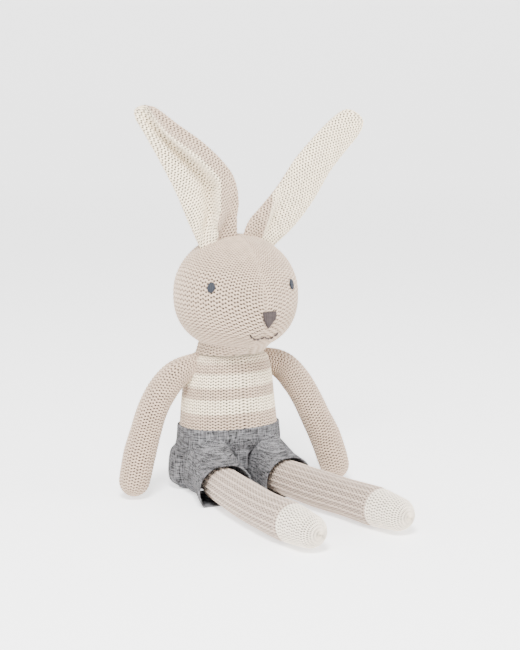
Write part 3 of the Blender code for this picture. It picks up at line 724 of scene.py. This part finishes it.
# ---------------------------------------------------------------- operators
class RABBIT_OT_torso(bpy.types.Operator):
    """Knit the striped torso"""
    bl_idname = "rabbit.torso"
    bl_label = "Torso"

    def execute(self, context):
        size, look = context.scene.rabbit_sizes, context.scene.rabbit_colours
        columns = int(TORSO_SPAN / size.mesh)
        grid, length, angles = body_grid(TRUNK_LEVELS, size.mesh * ROW_SPACING, columns,
                                         TORSO_START, 1.0)
        stitches = round(TORSO_GIRTH / size.stitch)
        u = stitches * angles[None, :] / (2 * math.pi) + 0 * length[:, None]
        v = length[:, None] / size.course + 0 * u
        height = grid[..., 2]
        tone = np.zeros_like(u)
        for low, high, strength in STRIPES:
            inside = np.minimum(height - low, high - height)
            tone += strength * np.clip(inside / STRIPE_EDGE + 0.5, 0, 1)
        raised, relief = knitted(grid, u, v, size.depth, seed=3)
        cloth = knit_material("Torso knit", look.beige, look.cream)
        body = grid_object("torso_knit", raised, cloth, relief=relief, tone=tone)
        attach(body, "torso")
        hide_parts("torso_panel_front", "torso_panel_back", "torso_stuffing", "waist_thread")
        return {"FINISHED"}


class RABBIT_OT_head(bpy.types.Operator):
    """Knit the head, its rows meeting at the centre seam"""
    bl_idname = "rabbit.head"
    bl_label = "Head"

    def execute(self, context):
        size, look = context.scene.rabbit_sizes, context.scene.rabbit_colours
        low = math.radians(JAW_END)
        columns, rows = (int(span / size.mesh) for span in HEAD_SPANS)
        lift = np.linspace(low, math.radians(HEAD_END), rows)[:, None]
        turn = np.linspace(-math.pi, math.pi, columns, endpoint=False)[None, :]
        towards = np.stack([np.sin(turn) * np.cos(lift), -np.cos(turn) * np.cos(lift),
                            np.sin(lift) + 0 * turn], axis=-1)
        grid = head_point(towards)
        grid, lift = self.with_neck(grid, lift, turn, size.mesh)
        radius = HEAD_HALF[0]
        away = np.abs(turn)
        u = (away - math.pi / 2) * radius * np.cos(lift) / size.stitch
        aside = np.minimum(away, math.pi - away) * radius * np.cos(lift)
        slope = np.interp(np.degrees(lift), *ROW_SLOPES)
        drop = slope * SLOPE_REACH * (1 - np.exp(-aside / SLOPE_REACH))
        v = (lift * radius - drop) / size.course
        seam = np.exp(-(np.abs(grid[..., 0] - HEAD_CENTRE[0]) / HEAD_SEAM_WIDTH) ** 2)
        raised, relief = knitted(grid, u, v, size.depth, seed=11, ease=1 - 0.5 * seam)
        raised -= normals_of(grid) * (0.5 * seam)[..., None]
        cloth = knit_material("Head knit", look.beige, look.cream)
        skin = grid_object("head_knit", raised, cloth, relief=relief, tone=np.zeros_like(relief))
        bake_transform(skin)
        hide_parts("head_panel_left", "head_panel_right", "head_stuffing", "neck_stuffing")
        return {"FINISHED"}

    def with_neck(self, grid, lift, turn, mesh):
        """The head's rings carried on down into a short neck."""
        count = int(NECK_LENGTH / mesh)
        share = np.linspace(0, 1, count, endpoint=False)[:, None, None]
        foot = np.stack([HEAD_CENTRE[0] + NECK_SHIFT[0] + NECK_RADIUS * np.sin(turn),
                         HEAD_CENTRE[1] + NECK_SHIFT[1] - NECK_DEPTH * NECK_RADIUS * np.cos(turn),
                         0 * turn + TORSO_TOP - NECK_SINK], axis=-1)
        neck = foot * (1 - share) + grid[:1] * share
        steps = np.diff(lift[:, 0]).mean() * np.arange(-count, 0)[:, None]
        return np.concatenate([neck, grid]), np.concatenate([lift[:1] + steps, lift])


class RABBIT_OT_face(bpy.types.Operator):
    """Embroider the eyes, nose and mouth"""
    bl_idname = "rabbit.face"
    bl_label = "Face"

    def execute(self, context):
        look = context.scene.rabbit_colours
        slate = thread_material("Slate thread", tuple(look.eye))
        taupe = thread_material("Taupe thread", tuple(look.nose))
        for side, at in EYES.items():
            lines = [self.eye_line(at, place) for place in np.linspace(-0.92, 0.92, 11)]
            satin = strands(f"eye_{side}_satin", lines, 0.42, slate)
            self.sew(satin, "slate_thread", f"eye_{side}")
        lines = [self.nose_line(place) for place in np.linspace(-0.93, 0.93, 17)]
        self.sew(strands("nose_satin", lines, 0.45, taupe), "taupe_thread", "nose")
        stitches = strands("mouth_stitches", self.mouth_lines(), 0.6, taupe)
        self.sew(stitches, "taupe_thread", "mouth")
        return {"FINISHED"}

    def sew(self, piece, slot, node):
        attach(piece, "head")
        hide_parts(node)

    def eye_line(self, at, place):
        """One slanting stitch across the oval of an eye."""
        half = (1 - abs(place) ** 2.4) ** 0.5
        step = np.linspace(-1, 1, 9)
        right = EYE_SIZE[0] * (place + 0.10 * step * half)
        up = EYE_SIZE[1] * half * step
        return face_point(at, right, up, 0.5 + 0.9 * half * (1 - 0.5 * step ** 2))

    def nose_line(self, place):
        """One upright stitch of the nose, longest in the middle."""
        top = NOSE_SIZE[1] * (0.78 - 0.12 * place ** 4)
        bottom = -NOSE_SIZE[1] * (1.0 - 1.0 * abs(place) ** 1.6)
        up = np.linspace(top, bottom, 9)
        lean = NOSE_SIZE[0] * place * (0.80 + 0.20 * (up / NOSE_SIZE[1]))
        return face_point(NOSE_AT, lean, up, 0.7 + 0.7 * (1 - np.linspace(-1, 1, 9) ** 2))

    def mouth_lines(self):
        """Short backstitches along the two shallow curves of the mouth."""
        across = np.linspace(-1, 1, 9)
        lines = []
        for first, last in zip(across, across[1:]):
            place = np.linspace(first + 0.015, last - 0.015, 5)
            up = -MOUTH_RISE * np.abs(np.sin(place * math.pi)) + MOUTH_RISE * place ** 4
            arch = 0.85 + 0.45 * (1 - np.linspace(-1, 1, 5) ** 2)
            lines.append(face_point(MOUTH_AT, MOUTH_HALF_WIDTH * place, up, arch))
        return lines


class RABBIT_OT_ears(bpy.types.Operator):
    """Knit both padded ears"""
    bl_idname = "rabbit.ears"
    bl_label = "Ears"

    def execute(self, context):
        size, look = context.scene.rabbit_sizes, context.scene.rabbit_colours
        cloth = knit_material("Ear knit", look.cream, look.beige)
        for side in ("left", "right"):
            half, rows = (int(span / size.mesh) for span in EAR_SPANS)
            grid, place = ear_form(side, rows, half)
            steps = np.linalg.norm(np.diff(grid, axis=1), axis=2)
            across = np.concatenate([np.zeros((len(grid), 1)), np.cumsum(steps, axis=1)], axis=1)
            across = across - across[:, half:half + 1]
            along = travelled(grid.mean(axis=1))[:, None]
            front = np.arange(2 * half)[None, :] > half
            slant = np.where(front, math.radians(EAR_LEAN[side]), 0.0)
            u = (across * np.cos(slant) - along * np.sin(slant)) / size.stitch
            v = (along * np.cos(slant) + across * np.sin(slant)) / size.course
            reach = np.concatenate([place, place[-2:0:-1]])[None, :]
            share = np.linspace(0, 1, len(grid))[:, None]
            edge = np.interp(share, np.linspace(0, 1, len(EAR_SEAM[side])), EAR_SEAM[side])
            tone = np.where(front, np.clip((reach - edge) / EAR_SEAM_EDGE, 0, 1), 1.0)
            if side == "right":
                grid, u, v, tone = (layer[:, ::-1] for layer in (grid, u, v, tone))
            raised, relief = knitted(grid, u, v, size.depth * 0.85, seed=21)
            ear = grid_object(f"ear_{side}_knit", raised, cloth, relief=relief, tone=tone)
            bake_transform(ear)
            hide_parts(f"ear_{side}_front", f"ear_{side}_back", f"ear_{side}_wadding")
        return {"FINISHED"}


class RABBIT_OT_arms(bpy.types.Operator):
    """Knit both arms"""
    bl_idname = "rabbit.arms"
    bl_label = "Arms"

    def execute(self, context):
        size, look = context.scene.rabbit_sizes, context.scene.rabbit_colours
        cloth = knit_material("Arm knit", look.arm, look.cream)
        for side, outward in (("left", 1.0), ("right", -1.0)):
            pivot = np.array(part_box(f"shoulder_{side}_thread")).mean(axis=0) / MM
            facing = unit(np.array((outward * SHOULDER_FACING[0], 0, SHOULDER_FACING[1])))
            edge = SHOULDER_MIDDLE + outward * SHOULDER_OUT
            path = [pivot - facing * SHOULDER_TUCK - (0, 0, SHOULDER_DROP)]
            path += [(edge + outward * out, y, z) for out, y, z in ARM_PATH[side]]
            grid, length, angles, along = limb_grid(path, ARM_RADII, size.mesh * ROW_SPACING,
                                                    int(ARM_SPAN / size.mesh), facing)
            middle = grid.mean(axis=1, keepdims=True)
            weight = np.clip(1 - along / SHOULDER_REACH, 0, 1)[:, None] ** 1.5
            offset = grid - middle
            tall = 1 + weight * (SHOULDER_OVAL[0] / ARM_RADII[0] - 1)
            deep = 1 + weight * (SHOULDER_OVAL[1] / ARM_RADII[0] - 1)
            grid = middle + offset * np.stack([tall, deep, tall], axis=-1)
            u = ARM_STITCHES * angles[None, :] / (2 * math.pi) + 0 * length[:, None]
            v = length[:, None] / size.course + 0 * u
            raised, relief = knitted(grid, u, v, size.depth, seed=31)
            arm = grid_object(f"arm_{side}_knit", raised, cloth, relief=relief,
                              tone=np.zeros_like(relief))
            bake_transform(arm)
            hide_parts(f"arm_{side}_skin", f"arm_{side}_stuffing", f"shoulder_{side}_thread")
        return {"FINISHED"}


class RABBIT_OT_legs(bpy.types.Operator):
    """Knit both legs with their pale feet"""
    bl_idname = "rabbit.legs"
    bl_label = "Legs"

    def execute(self, context):
        size, look = context.scene.rabbit_sizes, context.scene.rabbit_colours
        cloth = knit_material("Leg knit", look.leg, look.foot)
        for side in ("left", "right"):
            grid, length, angles, along = limb_grid(
                LEG_PATH[side], LEG_RADII, size.mesh * ROW_SPACING, int(LEG_SPAN / size.mesh),
                back_dome=True)
            grid[..., 2] = np.maximum(grid[..., 2], LEG_FLOOR)
            u = length[:, None] / size.stitch + 0 * angles[None, :]
            v = LEG_COURSES * angles[None, :] / (2 * math.pi) + 0 * u
            share = (along / along[-1])[:, None]
            tone = np.clip((share - ANKLE_AT) / ANKLE_EDGE, 0, 1) + 0 * u
            seam = np.exp(-((share - ANKLE_AT) / ANKLE_EDGE) ** 2)
            ease = 1 - 0.5 * seam + 0 * u
            raised, relief = knitted(grid, u, v, size.depth * 0.8, seed=41, ease=ease)
            rib = np.cos(math.pi * v) * np.clip((ANKLE_AT - share) / 0.02, 0, 1)
            raised += normals_of(grid) * (RIB_DEPTH * rib)[..., None]
            # Painted shade: the relief is lowered in the rib valleys and raised on the ribs, so
            # the valleys are darker
            relief = relief * (1 + 0.32 * rib)
            raised -= normals_of(grid) * (0.8 * seam + 0 * u)[..., None]
            leg = grid_object(f"leg_{side}_knit", raised, cloth, relief=relief, tone=tone)
            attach(leg, f"leg_{side}")
            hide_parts(f"leg_{side}_skin", f"foot_{side}_skin", f"leg_{side}_stuffing")
        return {"FINISHED"}


class RABBIT_OT_shorts(bpy.types.Operator):
    """Sew the cloth shorts"""
    bl_idname = "rabbit.shorts"
    bl_label = "Shorts"

    def execute(self, context):
        size, look = context.scene.rabbit_sizes, context.scene.rabbit_colours
        base = tuple(look.cloth)
        # dark is the painted shade colour for the cloth's hollows
        second, dark = (tuple(value * share for value in base) for share in (0.72, 0.45))
        cloth = fabric("Shorts cloth", base, second, dark, sheen=0.0, bump=0.5, scale=1100.0)
        woven(cloth, 3.2, 0.25)
        columns = int(SEAT_SPAN / size.mesh / SEAT_SPACING)
        levels = (*SEAT_LEVELS, TRUNK_LEVELS[0], (WAIST, *TRUNK_LEVELS[1][1:]))
        grid, length, angles = body_grid(levels, size.mesh * SEAT_SPACING, columns, 0.0, 1.0)
        normal = normals_of(grid)
        turned_away = np.abs(angles[None, :] - math.pi)
        crease = 0.7 * soft_noise(6 * turned_away, length[:, None] * 0.12, 51)
        height = grid[..., 2]
        free = np.clip((height - 6) / 8, 0, 1) * np.clip((WAIST - height) / 5, 0, 1)
        top = np.clip((height - WAIST + 12) / 12, 0, 1)
        turned = np.clip((height - WAIST + 1.0) / 1.0, 0, 1) ** 3
        ease = (SEAT_EASE[0] + SEAT_EASE[1] * top) * (1 - 0.7 * turned)
        seat = grid + normal * (ease + SEAT_CREASE * crease * free)[..., None]
        seat[..., 2] = np.maximum(seat[..., 2], FLOOR_GAP)
        middle, half, lowest, front = GUSSET
        drop = np.clip((height - lowest) / 6, 0, 1) * np.clip((36 - height) / 4, 0, 1)
        drop *= grid[..., 1] < 0
        drop *= np.exp(-((grid[..., 0] - middle) / half) ** 4)
        seat[..., 1] += drop * (front - seat[..., 1])
        seam = np.exp(-((grid[..., 0] + 3.0) / 0.8) ** 2)
        seat -= normal * (0.4 * seam * free)[..., None]
        # Painted shade along the pressed-in centre seam, carried by its relief
        trunk = grid_object("shorts_seat_cloth", seat, cloth, relief=1 - 0.5 * seam,
                            tone=0.3 * seam)
        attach(trunk, "torso")
        self.declare(trunk, SEAT_CUT, SEAT_CUT_FILL, "torso_knit",
                     "shorts_seat_left", "shorts_seat_right")
        for side in ("left", "right"):
            self.leg(side, cloth, size)
        return {"FINISHED"}

    def leg(self, side, cloth, size):
        """A leg of the shorts, turned in at its hem."""
        spine = curve(LEG_PATH[side])
        spine = np.concatenate([spine[:1] + (0, SHORTS_LEG_SET_BACK, 0), spine])
        length = SHORTS_LEG_SET_BACK + SHORTS_LEG_LENGTH
        rows = int(length / size.mesh / CUFF_SPACING)
        along = np.linspace(0, length, rows) - SHORTS_LEG_SET_BACK
        centre = at_lengths(spine, along + SHORTS_LEG_SET_BACK)
        tangent = unit(np.gradient(centre, axis=0))
        across = unit(np.cross((0, 0, 1.0), tangent))
        up = np.cross(tangent, across)
        angles = ring_angles(int(CUFF_SPAN / size.mesh / CUFF_SPACING))
        circle = circles(angles, across, up)
        share = np.clip(along / SHORTS_LEG_LENGTH, 0, 1)[:, None]
        centre[:, 2] -= CUFF_SAG * share[:, 0]
        radius = SHORTS_RADII[0] + (SHORTS_RADII[1] - SHORTS_RADII[0]) * share
        hem = 1 / (1 + np.exp(-(along[:, None] - (SHORTS_LEG_LENGTH - HEM_LENGTH)) / 0.3))
        turned_away = np.abs(angles[None, :] - math.pi)
        crease = CUFF_CREASE * soft_noise(4 * turned_away, along[:, None] * 0.22, 61 + len(side))
        droop = CUFF_DROOP * share * np.abs(np.cos(angles[None, :]))
        step = HEM_STEP * hem
        outer = centre[:, None] + circle * (radius + droop + step + crease * (1 - step))[..., None]
        lift = LAP_BRIDGE * (1 - share) ** 1.4 * np.clip(circle[..., 2], 0, 1) ** 0.7
        outer[..., 2] += lift
        inside = radius + droop + crease * 0.5 - CLOTH_THICKNESS
        inner = centre[:, None] + circle * inside[..., None]
        outer[..., 2] = np.maximum(outer[..., 2], CUFF_FLOOR[0])
        inner[..., 2] = np.maximum(inner[..., 2], CUFF_FLOOR[1])
        turned = along > SHORTS_LEG_LENGTH - HEM_LENGTH
        both = np.concatenate([outer, inner[turned][::-1]])
        above, width, count = HEM_LINE
        line = np.exp(-((along[:, None] - (SHORTS_LEG_LENGTH - HEM_LENGTH + above)) / width) ** 2)
        stitch = line * (np.sin(angles[None, :] * count) > 0)
        lining = np.ones_like(stitch[turned])
        # Painted shade along the hem's row of stitches, carried by the relief
        shade = np.concatenate([1 - 0.6 * line + 0 * stitch, lining])
        tone = np.concatenate([0.8 * stitch, 0.5 * lining])
        leg = grid_object(f"shorts_leg_{side}_cloth", both, cloth, relief=shade, tone=tone)
        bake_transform(leg)
        self.declare(leg, LEG_CUT, 1.0, f"leg_{side}_knit", f"shorts_leg_{side}")

    def declare(self, piece, cut, fill, rests_on, *nodes):
        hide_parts(*nodes)


class RABBIT_OT_stage(bpy.types.Operator):
    """Place the floor, lights and camera"""
    bl_idname = "rabbit.stage"
    bl_label = "Stage"

    def execute(self, context):
        floor_material = bpy.data.materials.new("Pale floor")
        set_shader(floor_material, Base_Color=(0.95, 0.95, 0.95, 1), Roughness=0.9,
                   Emission_Color=(1, 1, 1, 1), Emission_Strength=FLOOR_GLOW)
        grid_object("floor", self.bowl(), floor_material)
        world = context.scene.world or bpy.data.worlds.new("World")
        context.scene.world = world
        world.use_nodes = True
        backdrop = world.node_tree.nodes["Background"]
        backdrop.inputs["Color"].default_value = (1, 1, 1, 1)
        backdrop.inputs["Strength"].default_value = WORLD_STRENGTH
        for name, place, power, extent in LAMPS:
            data = bpy.data.lights.new(name, "AREA")
            data.energy = power
            data.size = extent
            lamp = bpy.data.objects.new(name, data)
            lamp.location = place
            lamp.rotation_euler = (-(lamp.location)).to_track_quat("-Z", "Y").to_euler()
            context.scene.collection.objects.link(lamp)
        data = bpy.data.cameras.new("camera")
        data.lens = LENS
        data.sensor_fit = "VERTICAL"
        data.sensor_height = SENSOR_HEIGHT
        camera = bpy.data.objects.new("camera", data)
        camera.location = CAMERA_PLACE
        camera.rotation_euler = (math.radians(CAMERA_PITCH), 0, math.radians(CAMERA_TURN))
        context.scene.collection.objects.link(camera)
        context.scene.camera = camera
        return {"FINISHED"}

    def bowl(self):
        """A round floor that sweeps up into a far wall all the way around the toy."""
        sweep = np.linspace(0, math.pi / 2, 24)
        reach = np.concatenate([FLOOR_RINGS, FLOOR_REACH + SWEEP * np.sin(sweep), WALL_TOP[:1]])
        height = np.concatenate([[0, 0], SWEEP * (1 - np.cos(sweep)), WALL_TOP[1:]])
        angles = np.linspace(0, 2 * math.pi, 96, endpoint=False)
        return np.stack([reach[:, None] * np.cos(angles), reach[:, None] * np.sin(angles),
                         height[:, None] - FLOOR_GAP + 0 * angles], axis=-1)


STEPS = (RABBIT_OT_torso, RABBIT_OT_head, RABBIT_OT_face, RABBIT_OT_ears, RABBIT_OT_arms,
         RABBIT_OT_legs, RABBIT_OT_shorts, RABBIT_OT_stage)


class RABBIT_PT_panel(bpy.types.Panel):
    """Lists the pieces of the rabbit"""
    bl_idname = "RABBIT_PT_panel"
    bl_label = "Knitted Rabbit"
    bl_space_type = "VIEW_3D"
    bl_region_type = "UI"
    bl_category = "Rabbit"

    def draw(self, context):
        for group in (context.scene.rabbit_sizes, context.scene.rabbit_colours):
            for name in group.bl_rna.properties.keys():
                if name not in ("rna_type", "name"):
                    self.layout.prop(group, name)
        for step in STEPS:
            self.layout.operator(step.bl_idname)


CLASSES = (RabbitSizes, RabbitColours, *STEPS, RABBIT_PT_panel)


def register():
    for item in CLASSES:
        bpy.utils.register_class(item)
    bpy.types.Scene.rabbit_sizes = PointerProperty(type=RabbitSizes)
    bpy.types.Scene.rabbit_colours = PointerProperty(type=RabbitColours)


def unregister():
    del bpy.types.Scene.rabbit_colours
    del bpy.types.Scene.rabbit_sizes
    for item in reversed(CLASSES):
        bpy.utils.unregister_class(item)


def main():
    register()
    bpy.ops.rabbit.torso()
    bpy.ops.rabbit.head()
    bpy.ops.rabbit.face()
    bpy.ops.rabbit.ears()
    bpy.ops.rabbit.arms()
    bpy.ops.rabbit.legs()
    bpy.ops.rabbit.shorts()
    bpy.ops.rabbit.stage()


if __name__ == "__main__":
    main()
